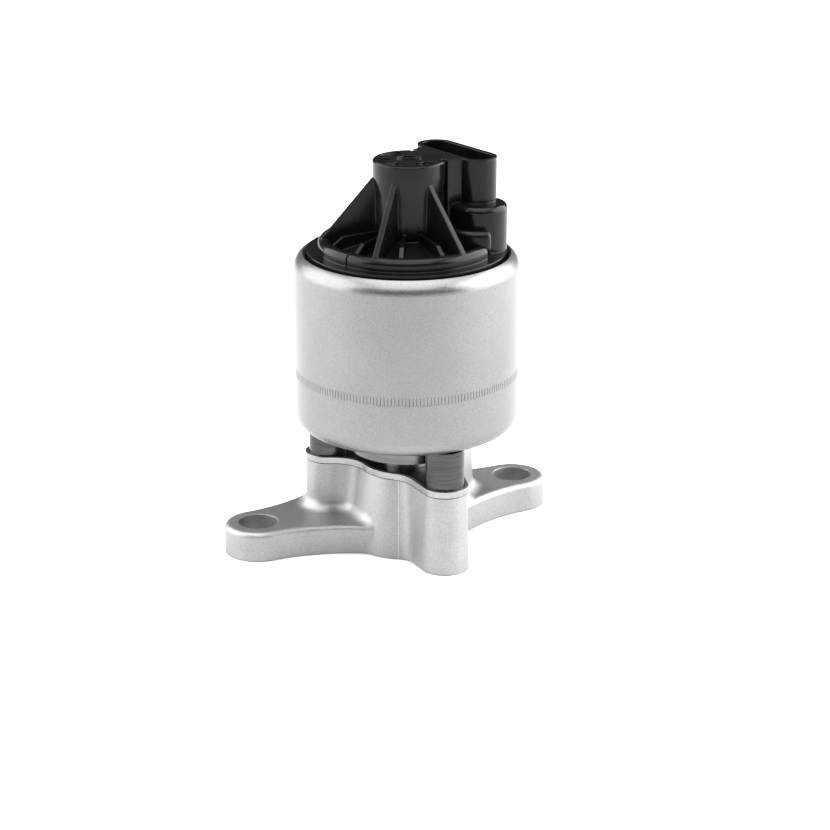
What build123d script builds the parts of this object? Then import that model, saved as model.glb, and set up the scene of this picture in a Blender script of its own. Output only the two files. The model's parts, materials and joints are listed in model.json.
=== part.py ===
from build123d import *
from math import cos, hypot, radians, sin, sqrt, tan
import os

# Linear exhaust gas recirculation valve, in millimetres.
# The origin is on the valve axis in the flange's bottom face. +X runs along the
# line of the two fixing bolts, +Y from the inlet port to the outlet port, +Z up
# the pintle towards the position sensor. The heights stack up from the flange:
# base, plate, standoffs, can with the solenoid, gasket, cap, connector.

# ------------------------------------------------------------ general clearances
FIT = 0.05                  # radial running clearance of sliding pieces
SCREW_CLEARANCE = 0.2
EDGE_GAP = 0.1              # pole plates to the can's wall
TINY = 1e-4

# ------------------------------------------------------------------ base casting
BOLT_SPACING = 72.4
BOLT_HOLE_R = 4.95
PORT_PITCH = 21.0           # inlet port to outlet port, along Y
EAR_R = 8.4
FLANGE_T = 7.4
FLANGE_SWEEP_R = 40.0       # hollow sides of the flange, from ear to body
FLANGE_EDGE_R = 1.3
FLANGE_MEET = 1.0           # flange's hollow sides, in from the body's ledge
BASE_H = 19.8
BODY_TOP_R = 11.3
BODY_DRAFT = 8.5            # degrees
ROOT_FILLET = 3.0           # where posts and body rise from the flange
PILLAR_ANGLES = (-91.0, 30.0, 136.0)
PILLAR_INSET = 6.75         # pillar circle, in from the can's side
PILLAR_TOP_R = 5.4
PILLAR_DRAFT = 1.8          # degrees
SIDE_WALL_SWEEP_R = 70.0    # hollow wall between the first two pillars
BLEND_R = 5.0               # upright inside corners of the casting
PORT_R = 8.6
CHAMBER_R = 8.9
CHAMBER_FLOOR_DROP = 0.4    # chamber floor, below the flange's top face
ROOF_T = 5.4                # metal over the gas chamber
SCREW_R = 2.5
SCREW_DEPTH = 12.0          # threaded length in each pillar

# -------------------------------------------------------------- seat and bearing
SEAT_R = 8.2                # outside of the seat ring
SEAT_BORE_R = 6.2
SEAT_H = 3.0
SEAT_CHAMFER = 1.0
SEAT_SHOULDER_W = 0.5       # ledge that the seat ring is pressed against
SEAT_SHOULDER_T = 0.8
SEAT_RELIEF_H = 0.6         # machined relief under the seat ring
SHAFT_R = 2.5
BEARING_R = 4.6
BEARING_FLANGE_R = 6.0
BEARING_FLANGE_T = 1.0

# ----------------------------------------------------------------- stamped plate
PLATE_T = 1.0
PLATE_RIM_H = 1.7
PLATE_RIM_T = 0.9
PLATE_OVERHANG = 0.25
PLATE_BLEND_R = 9.0

# ----------------------------------------------------- standoffs, screws and can
STANDOFF_R = 4.7
STANDOFF_LENGTH = 10.2
CAN_R = 27.5
CAN_WALL = 1.5
CAN_CORNER_R = 3.9
LIP_ANGLE = 63.0            # degrees of shoulder arc that the rolled lip covers
BAND_RISE = 14.7            # middle of the shallow band, over the can's bottom
BAND_H = 2.3
BAND_DEPTH = 0.15
SCREW_HEAD_R = 4.3
SCREW_HEAD_H = 1.8

# --------------------------------------------------- stepped seal cup below can
CUP_GAP = 1.05              # cup, clear of the standoffs
CUP_STEP_W = 0.8
CUP_DEPTH = 6.0
CUP_STEP_H = 2.4
CUP_WALL = 1.2
SEAL_R = 7.0

# --------------------------------------------------------------- solenoid inside
POLE_PLATE_T = 3.0
POLE_NECK_H = 1.4           # neck of the pole below the can
POLE_HUB_H = 8.5
SLEEVE_T = 0.6
ARMATURE_R = 7.0
ARMATURE_H = 17.0
AIR_GAP = 0.6               # shut armature over the pole's hub
UPPER_PLATE_T = 3.0
BOBBIN_WALL = 1.2
COIL_GAP = 1.8              # winding to the can's wall
LIFT = 4.5                  # pintle travel from shut to full flow
LIFT_SPARE = 0.3

# ----------------------------------------------------------------- return spring
SPRING_WIRE_R = 0.45
SPRING_R = 4.2
SPRING_POCKET_R = 5.2
SPRING_POCKET_DEPTH = 6.0
SPRING_SEAT_DEPTH = 1.2
SPRING_TURNS = 5
SHAFT_STUB_R = 2.0
SHAFT_STUB_H = 4.0

# ------------------------------------------------------------- pintle valve head
HEAD_OVERLAP = 0.8          # head, out past the seat's bore
HEAD_TAPER = 2.4
HEAD_RIM_H = 0.9
HEAD_NECK_H = 2.0
SEAT_GAP = 0.1              # gap between the shut head and its seat
SNAP_RING_R = 3.3
SNAP_RING_T = 0.8

# -------------------------------------------------------- gasket, cap and leads
GASKET_T = 1.0
CARRIER_T = 1.2
LEAD_R = 0.6
LEAD_U = 12.0               # coil leads, out from the valve axis
LEAD_V = 6.0
LEAD_RISE = 2.0             # leads over the terminal carrier
CAP_TURN = 10.5             # connector side, from +X, about the valve axis
CAP_GAP = 0.4               # skirt to the can's wall
SKIRT_RISE = 2.0
SKIRT_CHAMFER = 1.1
SKIRT_STEP_W = 1.3
SKIRT_WALL = 4.6
RING_RISE = 5.4             # flat ring of the cap, over the skirt's bottom
ROOF_WALL = 2.4
BEAD_INSET = 4.3            # bead, in from the ring's edge
BEAD_WIDTH = 3.2
BEAD_H = 3.1
BEAD_SPAN = 116.0           # degrees each way from the side opposite the connector
BEAD_SLIT_ANGLE = 190.8
BEAD_SLIT_W = 0.4
RIM_RISE = 1.4              # roof at the bead, over the flat ring
HUB_RISE = 3.5              # roof at the tower, over the flat ring

# ------------------------------------------------------- sensor tower and fins
TOWER_H = 18.7
TOWER_SHIFT = 0.8
TOWER_R = 8.9
TOWER_FOOT_R = 8.2
TOWER_HEAD_H = 3.6          # straight head of the tower
TOWER_FLARE_H = 4.9         # where the tower widens to its head
TOWER_EDGE = 0.3
POCKET_DEPTH = 0.6          # shallow pockets in the tower's top
POCKET_INNER_R = 4.5
POCKET_OUTER_R = 7.8
POCKET_CENTRE_R = 3.2
POCKET_ARM_W = 2.0
POCKET_ARM_ANGLES = (63.0, 125.0, 180.0, 235.0, 297.0)
GUSSET_ANGLES = (87.5, 149.0, 211.0, 272.5)
GUSSET_DROP = 4.2           # gusset tops, below the tower's top
GUSSET_T = 1.3
RIB_ANGLES = (101.6, 132.0, 166.0, 194.0, 228.0, 258.4)
RIB_T = 1.0
RIB_RISE = 1.9              # rib tops, over the roof at the tower
RIB_KINK_INSET = 3.2
RIB_KINK_RISE = 1.4
BRIDGE_HALF_W = 6.7         # half width of the web where it leaves the tower
BRIDGE_SHROUD_HALF_W = 7.8  # and where it meets the shroud
GROOVE_U = 6.7              # upright grooves between the tower and the web
GROOVE_W = 1.0
GROOVE_DEPTH = 1.5

# --------------------------------------------------------------------- connector
SHROUD_INSET = 8.8          # middle of the shroud, in from the ring's edge
SHROUD_LENGTH = 25.4
SHROUD_WIDTH = 9.4
SHROUD_WALL = 1.15
SOCKET_DEPTH = 14.4
PEDESTAL_OFFSET = 0.9       # pedestal, in from the shroud's middle
PEDESTAL_LENGTH = 33.6
PEDESTAL_WIDTH = 13.6
PEDESTAL_DROP = 10.8        # pedestal's top, below the shroud's
PEDESTAL_EDGE_R = 1.4
RIDGE_GAP = 0.9             # groove between the pedestal and the ridge around it
RIDGE_WIDTH = 2.5
RIDGE_RISE = 1.7            # ridge's top, over the bead's
PIN_COUNT = 5
PIN_PITCH = 4.0
PIN_WIDTH = 1.5
PIN_T = 0.8
PIN_DROP = 5.4              # pin tips, below the shroud's top

# --------------------------------------------------------------- position sensor
PLUNGER_R = 2.6
PLUNGER_TIP_R = 1.5
PLUNGER_GAP = 0.2           # rest gap between the plunger tip and the shaft
PLUNGER_H = 6.6             # wide part of the plunger
SENSOR_BORE_DROP = 6.0      # top of the sensor bore, below the tower's top
SENSOR_SPRING_H = 8.0
SENSOR_SPRING_R = 1.8
SENSOR_SPRING_WIRE_R = 0.25
SENSOR_SPRING_TURNS = 6
TRACK_W = 4.6
TRACK_T = 0.8
TRACK_DROP = 3.0            # track's top, below the sensor bore's
WIPER_RISE = 1.6            # wiper, over the bottom of the plunger's wide part
WIPER_H = 2.0
WIPER_W = 1.8
WIPER_REACH = 0.5           # how far the wiper stands out of the plunger
WIPER_ROOT = 0.7
WIPER_GAP = 0.1

# ------------------------------------------------------------ heights that stack
CHAMBER_FLOOR_Z = FLANGE_T - CHAMBER_FLOOR_DROP
CHAMBER_ROOF_Z = BASE_H - ROOF_T
SEAT_TOP_Z = CHAMBER_FLOOR_Z - SEAT_SHOULDER_T
PLATE_TOP_Z = BASE_H + PLATE_T
CAN_BOTTOM_Z = PLATE_TOP_Z + STANDOFF_LENGTH
CAN_FLOOR_Z = CAN_BOTTOM_Z + CAN_WALL
CUP_BOTTOM_Z = CAN_BOTTOM_Z - CUP_DEPTH
CUP_STEP_Z = CAN_BOTTOM_Z - CUP_STEP_H
POLE_NECK_Z = CAN_BOTTOM_Z - POLE_NECK_H
POLE_PLATE_TOP_Z = CAN_FLOOR_Z + POLE_PLATE_T
POLE_HUB_TOP_Z = POLE_PLATE_TOP_Z + POLE_HUB_H
SCREW_SEAT_Z = CAN_FLOOR_Z + POLE_PLATE_T / 3
ARMATURE_BOTTOM_Z = POLE_HUB_TOP_Z + AIR_GAP
ARMATURE_TOP_Z = ARMATURE_BOTTOM_Z + ARMATURE_H
POCKET_FLOOR_Z = ARMATURE_TOP_Z - SPRING_POCKET_DEPTH
SHAFT_TOP_Z = POCKET_FLOOR_Z + SHAFT_STUB_H
UPPER_PLATE_Z = ARMATURE_TOP_Z + LIFT + LIFT_SPARE
SPRING_SEAT_Z = UPPER_PLATE_Z + SPRING_SEAT_DEPTH
UPPER_PLATE_TOP_Z = UPPER_PLATE_Z + UPPER_PLATE_T
COIL_BOTTOM_Z = POLE_PLATE_TOP_Z + BOBBIN_WALL
COIL_TOP_Z = UPPER_PLATE_Z - BOBBIN_WALL
SKIRT_BOTTOM_Z = UPPER_PLATE_TOP_Z + GASKET_T
SKIRT_TOP_Z = SKIRT_BOTTOM_Z + SKIRT_RISE
CAN_SHOULDER_Z = SKIRT_BOTTOM_Z + 0.6 * SKIRT_RISE
LEAD_TOP_Z = UPPER_PLATE_TOP_Z + CARRIER_T + LEAD_RISE
RING_Z = SKIRT_BOTTOM_Z + RING_RISE
BEAD_TOP_Z = RING_Z + BEAD_H
RIM_Z = RING_Z + RIM_RISE
HUB_Z = RING_Z + HUB_RISE
TOWER_TOP_Z = HUB_Z + TOWER_H
TOWER_HEAD_Z = TOWER_TOP_Z - TOWER_HEAD_H
GUSSET_TOP_Z = TOWER_TOP_Z - GUSSET_DROP
SOCKET_FLOOR_Z = TOWER_TOP_Z - SOCKET_DEPTH
PEDESTAL_TOP_Z = TOWER_TOP_Z - PEDESTAL_DROP
RIDGE_TOP_Z = BEAD_TOP_Z + RIDGE_RISE
PIN_TOP_Z = TOWER_TOP_Z - PIN_DROP
PIN_TAIL_Z = RING_Z - ROOF_WALL
SENSOR_BORE_TOP_Z = TOWER_TOP_Z - SENSOR_BORE_DROP
PLUNGER_TOP_Z = SENSOR_BORE_TOP_Z - SENSOR_SPRING_H
PLUNGER_BODY_Z = PLUNGER_TOP_Z - PLUNGER_H
PLUNGER_TIP_Z = SHAFT_TOP_Z + PLUNGER_GAP
WIPER_Z = PLUNGER_BODY_Z + WIPER_RISE
TRACK_TOP_Z = SENSOR_BORE_TOP_Z - TRACK_DROP
TRACK_BOTTOM_Z = WIPER_Z - WIPER_H

# ---------------------------------------------------- radii and plan that follow
BOLT_LINE_Y = PORT_PITCH / 2
PILLAR_CIRCLE_R = CAN_R - PILLAR_INSET
CUP_R = PILLAR_CIRCLE_R - STANDOFF_R - CUP_GAP
CUP_LOWER_R = CUP_R - CUP_STEP_W
BODY_FOOT_R = BODY_TOP_R + BASE_H * tan(radians(BODY_DRAFT))
BODY_LEDGE_R = BODY_TOP_R + (BASE_H - FLANGE_T) * tan(radians(BODY_DRAFT))
PILLAR_FOOT_R = PILLAR_TOP_R + BASE_H * tan(radians(PILLAR_DRAFT))
HEAD_R = SEAT_BORE_R + HEAD_OVERLAP
HEAD_TIP_R = HEAD_R - HEAD_TAPER
HEAD_RIM_Z = SEAT_TOP_Z - SEAT_CHAMFER + HEAD_OVERLAP + SEAT_GAP
CAN_INNER_R = CAN_R - CAN_WALL
CORNER_R = CAN_R - CAN_CORNER_R     # centre line of the can's rounded corners
SLEEVE_INNER_R = ARMATURE_R + FIT
SLEEVE_OUTER_R = SLEEVE_INNER_R + SLEEVE_T
BOBBIN_BORE_R = SLEEVE_OUTER_R + FIT
COIL_R = CAN_INNER_R - COIL_GAP
SKIRT_R = CAN_INNER_R - CAP_GAP
CAVITY_R = SKIRT_R - SKIRT_WALL
RING_R = SKIRT_R - SKIRT_STEP_W
BEAD_R = RING_R - BEAD_INSET
BEAD_IN_R = BEAD_R - BEAD_WIDTH / 2
BEAD_OUT_R = BEAD_R + BEAD_WIDTH / 2
RIB_KINK_R = BEAD_R - RIB_KINK_INSET
SHROUD_U = RING_R - SHROUD_INSET
PEDESTAL_U = SHROUD_U - PEDESTAL_OFFSET
TRACK_U = PLUNGER_R + WIPER_REACH + WIPER_GAP
TOWER_NECK_R = TOWER_FOOT_R + 0.3 * (TOWER_R - TOWER_FOOT_R)


def polar(radius, angle):
    """Point at a radius and an angle in degrees."""
    return (radius * cos(radians(angle)), radius * sin(radians(angle)))


def ring(outer, inner, bottom, top):
    """Upright tube about the valve axis."""
    wall = Circle(outer) - Circle(inner)
    return Pos(0, 0, bottom) * extrude(wall, top - bottom)


def disc(radius, bottom, top):
    """Upright cylinder about the valve axis."""
    return Pos(0, 0, bottom) * extrude(Circle(radius), top - bottom)


def turned(*points):
    """Solid turned about the valve axis from a closed (radius, height) profile."""
    outline = Polyline(*[(r, 0, z) for r, z in points], close=True)
    return revolve(make_face(outline), Axis.Z)


def at_pillars(solid):
    """Copies of a solid, one on the axis of each pillar."""
    return [Pos(*polar(PILLAR_CIRCLE_R, a)) * solid for a in PILLAR_ANGLES]


def joined(solids):
    """Solids fused into one."""
    result = solids[0]
    for solid in solids[1:]:
        result = result + solid
    return result


def slot_plan(radius):
    """Rounded plan around both ports, running along Y."""
    return Pos(0, PORT_PITCH / 2) * Rot(0, 0, 90) * SlotCenterToCenter(PORT_PITCH, 2 * radius)


def tangent_hollow(c1, r1, c2, r2, sweep_r):
    """Piece of plan between two circles whose free edge is an arc of radius sweep_r.

    The arc bows inwards and is tangent to both circles. It lies to the right of
    the way from the first centre to the second.
    """
    x1, y1 = c1
    x2, y2 = c2
    gap = hypot(x2 - x1, y2 - y1)
    along = (x2 - x1) / gap, (y2 - y1) / gap
    side = along[1], -along[0]
    reach1, reach2 = r1 + sweep_r, r2 + sweep_r
    run = (gap ** 2 + reach1 ** 2 - reach2 ** 2) / (2 * gap)
    rise = sqrt(reach1 ** 2 - run ** 2)
    centre = (x1 + run * along[0] + rise * side[0], y1 + run * along[1] + rise * side[1])
    touch1 = tuple(a + (b - a) * r1 / reach1 for a, b in zip(c1, centre))
    touch2 = tuple(a + (b - a) * r2 / reach2 for a, b in zip(c2, centre))
    middle = tuple((a + b) / 2 for a, b in zip(touch1, touch2))
    reach = hypot(middle[0] - centre[0], middle[1] - centre[1])
    crown = tuple(c + (m - c) * sweep_r / reach for c, m in zip(centre, middle))
    edges = [Line(c1, touch1), ThreePointArc(touch1, crown, touch2), Line(touch2, c2), Line(c2, c1)]
    return make_face(edges)


# ------------------------------------------------------------------ base casting
def flange_plan():
    """Two-eared flange with hollow sides, drawn in to meet the drafted body."""
    left = (-BOLT_SPACING / 2, BOLT_LINE_Y)
    right = (BOLT_SPACING / 2, BOLT_LINE_Y)
    inlet = (0, 0)
    outlet = (0, PORT_PITCH)
    meet_r = BODY_LEDGE_R - FLANGE_MEET
    plan = slot_plan(meet_r) + make_face(Polyline(left, inlet, right, outlet, close=True))
    plan += [Pos(*ear) * Circle(EAR_R) for ear in (left, right)]
    plan += tangent_hollow(inlet, meet_r, right, EAR_R, FLANGE_SWEEP_R)
    plan += tangent_hollow(right, EAR_R, outlet, meet_r, FLANGE_SWEEP_R)
    plan += tangent_hollow(outlet, meet_r, left, EAR_R, FLANGE_SWEEP_R)
    plan += tangent_hollow(left, EAR_R, inlet, meet_r, FLANGE_SWEEP_R)
    return plan


def pillar_plan():
    """Foot of the three pillars, with the arms and the wall that carry them."""
    first, second, third = [polar(PILLAR_CIRCLE_R, a) for a in PILLAR_ANGLES]
    plan = Pos(*third) * Circle(PILLAR_FOOT_R)
    for angle in PILLAR_ANGLES[:2]:
        arm = SlotCenterToCenter(PILLAR_CIRCLE_R, 2 * PILLAR_FOOT_R)
        plan += Rot(0, 0, angle) * Pos(PILLAR_CIRCLE_R / 2, 0) * arm
    plan += make_face(Polyline((0, 0), first, second, close=True))
    plan += tangent_hollow(first, PILLAR_FOOT_R, second, PILLAR_FOOT_R, SIDE_WALL_SWEEP_R)
    return plan


def valve_base():
    """Die-cast base: flange, gas chamber, two ports and three screw pillars."""
    flange = extrude(flange_plan(), FLANGE_T)
    flange = fillet(flange.edges().group_by(Axis.Z)[-1], FLANGE_EDGE_R)
    body = extrude(slot_plan(BODY_FOOT_R), BASE_H, taper=BODY_DRAFT)
    posts = extrude(pillar_plan(), BASE_H, taper=PILLAR_DRAFT)
    core = body + posts
    corners = new_edges(body, posts, combined=core).filter_by(lambda e: e.length > BASE_H)
    core = fillet(corners, BLEND_R)
    casting = flange + core
    roots = new_edges(flange, core, combined=casting).filter_by(
        lambda e: abs(e.center().Z - FLANGE_T) < TINY and e.bounding_box().size.Z < TINY)
    casting = fillet(roots, ROOT_FILLET)

    chamber = Pos(0, 0, CHAMBER_FLOOR_Z) * extrude(
        slot_plan(CHAMBER_R), CHAMBER_ROOF_Z - CHAMBER_FLOOR_Z)
    casting -= chamber
    relief_top = SEAT_TOP_Z - SEAT_H
    casting -= disc(PORT_R, 0, relief_top - SEAT_RELIEF_H)
    casting -= disc(CHAMBER_R, relief_top - SEAT_RELIEF_H, relief_top)
    casting -= disc(SEAT_R, relief_top, SEAT_TOP_Z)
    casting -= disc(SEAT_R - SEAT_SHOULDER_W, SEAT_TOP_Z, CHAMBER_FLOOR_Z)
    casting -= Pos(0, PORT_PITCH) * disc(PORT_R, 0, CHAMBER_FLOOR_Z)
    casting -= disc(BEARING_R, CHAMBER_ROOF_Z, BASE_H)
    for side in (-1, 1):
        casting -= Pos(side * BOLT_SPACING / 2, BOLT_LINE_Y) * disc(BOLT_HOLE_R, 0, FLANGE_T)
    for hole in at_pillars(disc(SCREW_R, BASE_H - SCREW_DEPTH, BASE_H)):
        casting -= hole
    return casting


def valve_seat():
    """Hardened seat ring in the inlet, with a chamfer that the pintle shuts on."""
    bottom = SEAT_TOP_Z - SEAT_H
    return turned((SEAT_BORE_R, bottom), (SEAT_R, bottom), (SEAT_R, SEAT_TOP_Z),
                  (SEAT_BORE_R + SEAT_CHAMFER, SEAT_TOP_Z),
                  (SEAT_BORE_R, SEAT_TOP_Z - SEAT_CHAMFER))


def shaft_bearing():
    """Flanged bush that guides the shaft through the roof of the gas chamber."""
    bore = SHAFT_R + FIT
    return turned((bore, CHAMBER_ROOF_Z), (BEARING_R, CHAMBER_ROOF_Z),
                  (BEARING_R, PLATE_TOP_Z), (BEARING_FLANGE_R, PLATE_TOP_Z),
                  (BEARING_FLANGE_R, PLATE_TOP_Z + BEARING_FLANGE_T),
                  (bore, PLATE_TOP_Z + BEARING_FLANGE_T))


# ----------------------------------------------------------------- stamped plate
def plate_plan():
    """Outline of the plate: the casting's top, a little larger, with eased corners."""
    first, second, third = [polar(PILLAR_CIRCLE_R, a) for a in PILLAR_ANGLES]
    post_r = PILLAR_TOP_R + PLATE_OVERHANG
    plan = slot_plan(BODY_TOP_R + PLATE_OVERHANG) + Pos(*third) * Circle(post_r)
    for angle in PILLAR_ANGLES[:2]:
        arm = SlotCenterToCenter(PILLAR_CIRCLE_R, 2 * post_r)
        plan += Rot(0, 0, angle) * Pos(PILLAR_CIRCLE_R / 2, 0) * arm
    plan += make_face(Polyline((0, 0), first, second, close=True))
    plan += tangent_hollow(first, post_r, second, post_r, SIDE_WALL_SWEEP_R)
    return offset(offset(plan, PLATE_BLEND_R), -PLATE_BLEND_R)


def cover_plate():
    """Pressed tray on the casting, with a turned-up rim that follows its outline."""
    outline = plate_plan()
    tray = Pos(0, 0, BASE_H) * extrude(outline, PLATE_RIM_H)
    tray -= Pos(0, 0, PLATE_TOP_Z) * extrude(offset(outline, -PLATE_RIM_T), PLATE_RIM_H)
    tray -= disc(BEARING_R, BASE_H, PLATE_TOP_Z)
    for hole in at_pillars(disc(SCREW_R + SCREW_CLEARANCE, BASE_H, PLATE_TOP_Z)):
        tray -= hole
    return tray


# --------------------------------------------- standoffs, screws, cup and seal
def standoffs():
    """Three steel sleeves that hold the solenoid clear of the hot casting."""
    sleeve = ring(STANDOFF_R, SCREW_R + SCREW_CLEARANCE, PLATE_TOP_Z, CAN_BOTTOM_Z)
    return Compound(children=at_pillars(sleeve))


def clamp_screws():
    """Three screws from the lower pole through the standoffs into the pillars."""
    shank_r = SCREW_R - FIT
    hex_recess = Pos(0, 0, SCREW_SEAT_Z + SCREW_HEAD_H / 2) * extrude(
        RegularPolygon(SCREW_HEAD_R * 0.55, 6), SCREW_HEAD_H)
    screw = disc(shank_r, BASE_H - SCREW_DEPTH + SCREW_R / 2, SCREW_SEAT_Z)
    screw += disc(SCREW_HEAD_R, SCREW_SEAT_Z, SCREW_SEAT_Z + SCREW_HEAD_H) - hex_recess
    return Compound(children=at_pillars(screw))


def seal_cup():
    """Stepped cup under the can that holds the shaft seal."""
    inner = CUP_LOWER_R - CUP_WALL
    return turned((SHAFT_R + SCREW_CLEARANCE, CUP_BOTTOM_Z), (CUP_LOWER_R, CUP_BOTTOM_Z),
                  (CUP_LOWER_R, CUP_STEP_Z), (CUP_R, CUP_STEP_Z), (CUP_R, CAN_BOTTOM_Z),
                  (inner, CAN_BOTTOM_Z), (inner, CUP_BOTTOM_Z + CUP_WALL),
                  (SHAFT_R + SCREW_CLEARANCE, CUP_BOTTOM_Z + CUP_WALL))


def shaft_seal():
    """Packing ring around the shaft, between the cup and the pole piece."""
    return ring(SEAL_R, SHAFT_R + FIT, CUP_BOTTOM_Z + CUP_WALL, POLE_NECK_Z)


# --------------------------------------------------------------------- solenoid
def solenoid_can():
    """Deep-drawn can with a rolled lip, a rounded foot and a shallow band groove."""
    inner_corner_r = CAN_CORNER_R - CAN_WALL
    middle = LIP_ANGLE / 2

    def on_arc(radius, centre_z, angle):
        u, v = polar(radius, angle)
        return (CORNER_R + u, 0, centre_z + v)

    foot_z = CAN_BOTTOM_Z + CAN_CORNER_R
    neck_r = SLEEVE_OUTER_R
    groove_r = CAN_R - BAND_DEPTH
    band_low = CAN_BOTTOM_Z + BAND_RISE - BAND_H / 2
    band_high = band_low + BAND_H
    profile = [
        Line((neck_r, 0, CAN_BOTTOM_Z), (CORNER_R, 0, CAN_BOTTOM_Z)),
        ThreePointArc((CORNER_R, 0, CAN_BOTTOM_Z), on_arc(CAN_CORNER_R, foot_z, -45),
                      (CAN_R, 0, foot_z)),
        Polyline((CAN_R, 0, foot_z), (CAN_R, 0, band_low), (groove_r, 0, band_low),
                 (groove_r, 0, band_high), (CAN_R, 0, band_high), (CAN_R, 0, CAN_SHOULDER_Z)),
        ThreePointArc((CAN_R, 0, CAN_SHOULDER_Z), on_arc(CAN_CORNER_R, CAN_SHOULDER_Z, middle),
                      on_arc(CAN_CORNER_R, CAN_SHOULDER_Z, LIP_ANGLE)),
        Line(on_arc(CAN_CORNER_R, CAN_SHOULDER_Z, LIP_ANGLE),
             on_arc(inner_corner_r, CAN_SHOULDER_Z, LIP_ANGLE)),
        ThreePointArc(on_arc(inner_corner_r, CAN_SHOULDER_Z, LIP_ANGLE),
                      on_arc(inner_corner_r, CAN_SHOULDER_Z, middle),
                      (CAN_INNER_R, 0, CAN_SHOULDER_Z)),
        Line((CAN_INNER_R, 0, CAN_SHOULDER_Z), (CAN_INNER_R, 0, foot_z)),
        ThreePointArc((CAN_INNER_R, 0, foot_z), on_arc(inner_corner_r, foot_z, -45),
                      (CORNER_R, 0, CAN_FLOOR_Z)),
        Polyline((CORNER_R, 0, CAN_FLOOR_Z), (neck_r, 0, CAN_FLOOR_Z),
                 (neck_r, 0, CAN_BOTTOM_Z)),
    ]
    can = revolve(make_face(profile), Axis.Z)
    for hole in at_pillars(disc(SCREW_R + SCREW_CLEARANCE, CAN_BOTTOM_Z, CAN_FLOOR_Z)):
        can -= hole
    return can


def lower_pole():
    """Lower pole piece: plate on the can's floor with a hub that guides the shaft."""
    pole = turned((SHAFT_R + FIT, POLE_NECK_Z), (SLEEVE_OUTER_R, POLE_NECK_Z),
                  (SLEEVE_OUTER_R, CAN_FLOOR_Z), (CORNER_R, CAN_FLOOR_Z),
                  (CAN_INNER_R - EDGE_GAP, POLE_PLATE_TOP_Z - POLE_PLATE_T / 4),
                  (CAN_INNER_R - EDGE_GAP, POLE_PLATE_TOP_Z),
                  (SLEEVE_OUTER_R, POLE_PLATE_TOP_Z), (SLEEVE_OUTER_R, POLE_HUB_TOP_Z),
                  (SHAFT_R + FIT, POLE_HUB_TOP_Z))
    pocket = disc(SCREW_HEAD_R + SCREW_CLEARANCE, SCREW_SEAT_Z, POLE_PLATE_TOP_Z)
    pocket += disc(SCREW_R + SCREW_CLEARANCE, CAN_FLOOR_Z, SCREW_SEAT_Z)
    for hole in at_pillars(pocket):
        pole -= hole
    return pole


def guide_sleeve():
    """Thin non-magnetic sleeve in which the armature slides."""
    return ring(SLEEVE_OUTER_R, SLEEVE_INNER_R, POLE_HUB_TOP_Z, UPPER_PLATE_Z)


def leads_plan(radius):
    """The two coil leads, seen along the valve axis."""
    return [Rot(0, 0, CAP_TURN) * Pos(LEAD_U, side * LEAD_V) * Circle(radius) for side in (-1, 1)]


def upper_pole():
    """Upper pole plate, with the return spring's seat in its underside."""
    plate = disc(CAN_INNER_R - EDGE_GAP, UPPER_PLATE_Z, UPPER_PLATE_TOP_Z)
    plate -= disc(SPRING_POCKET_R, UPPER_PLATE_Z, SPRING_SEAT_Z)
    plate -= disc(PLUNGER_TIP_R + SCREW_CLEARANCE, UPPER_PLATE_Z, UPPER_PLATE_TOP_Z)
    for hole in leads_plan(LEAD_R + SCREW_CLEARANCE):
        plate -= Pos(0, 0, UPPER_PLATE_Z) * extrude(hole, UPPER_PLATE_T)
    return plate


def coil_bobbin():
    """Moulded bobbin between the two pole plates."""
    tube = BOBBIN_BORE_R + BOBBIN_WALL
    rim = COIL_R + BOBBIN_WALL / 2
    bobbin = turned((BOBBIN_BORE_R, POLE_PLATE_TOP_Z), (rim, POLE_PLATE_TOP_Z),
                    (rim, COIL_BOTTOM_Z), (tube, COIL_BOTTOM_Z), (tube, COIL_TOP_Z),
                    (rim, COIL_TOP_Z), (rim, UPPER_PLATE_Z),
                    (BOBBIN_BORE_R, UPPER_PLATE_Z))
    for hole in leads_plan(LEAD_R + SCREW_CLEARANCE):
        bobbin -= Pos(0, 0, COIL_TOP_Z) * extrude(hole, BOBBIN_WALL)
    return bobbin


def coil_winding():
    """Copper winding on the bobbin."""
    return ring(COIL_R, BOBBIN_BORE_R + BOBBIN_WALL, COIL_BOTTOM_Z, COIL_TOP_Z)


def coil_leads():
    """Two stiff leads from the winding up to the terminal carrier."""
    leads = [Pos(0, 0, COIL_TOP_Z) * extrude(lead, LEAD_TOP_Z - COIL_TOP_Z)
             for lead in leads_plan(LEAD_R)]
    return Compound(children=leads)


def terminal_carrier():
    """Disc on the upper pole that holds the leads and guides the sensor plunger."""
    carrier = disc(CAVITY_R - FIT, UPPER_PLATE_TOP_Z, UPPER_PLATE_TOP_Z + CARRIER_T)
    carrier -= disc(PLUNGER_TIP_R + FIT, UPPER_PLATE_TOP_Z, UPPER_PLATE_TOP_Z + CARRIER_T)
    for hole in leads_plan(LEAD_R):
        carrier -= Pos(0, 0, UPPER_PLATE_TOP_Z) * extrude(hole, CARRIER_T)
    return carrier


def cap_gasket():
    """Flat gasket under the cap's skirt."""
    return ring(SKIRT_R, CAVITY_R, UPPER_PLATE_TOP_Z, SKIRT_BOTTOM_Z)


# ----------------------------------------------------------------- moving pintle
def valve_head():
    """Tapered valve head that shuts on the seat's chamfer."""
    tip_z = HEAD_RIM_Z - (HEAD_R - HEAD_TIP_R)
    top_z = HEAD_RIM_Z + HEAD_RIM_H
    return turned((0, tip_z), (HEAD_TIP_R, tip_z), (HEAD_R, HEAD_RIM_Z), (HEAD_R, top_z),
                  (SHAFT_R + HEAD_NECK_H / 2, top_z + HEAD_NECK_H), (SHAFT_R, top_z + HEAD_NECK_H),
                  (SHAFT_R, HEAD_RIM_Z), (0, HEAD_RIM_Z))


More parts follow.
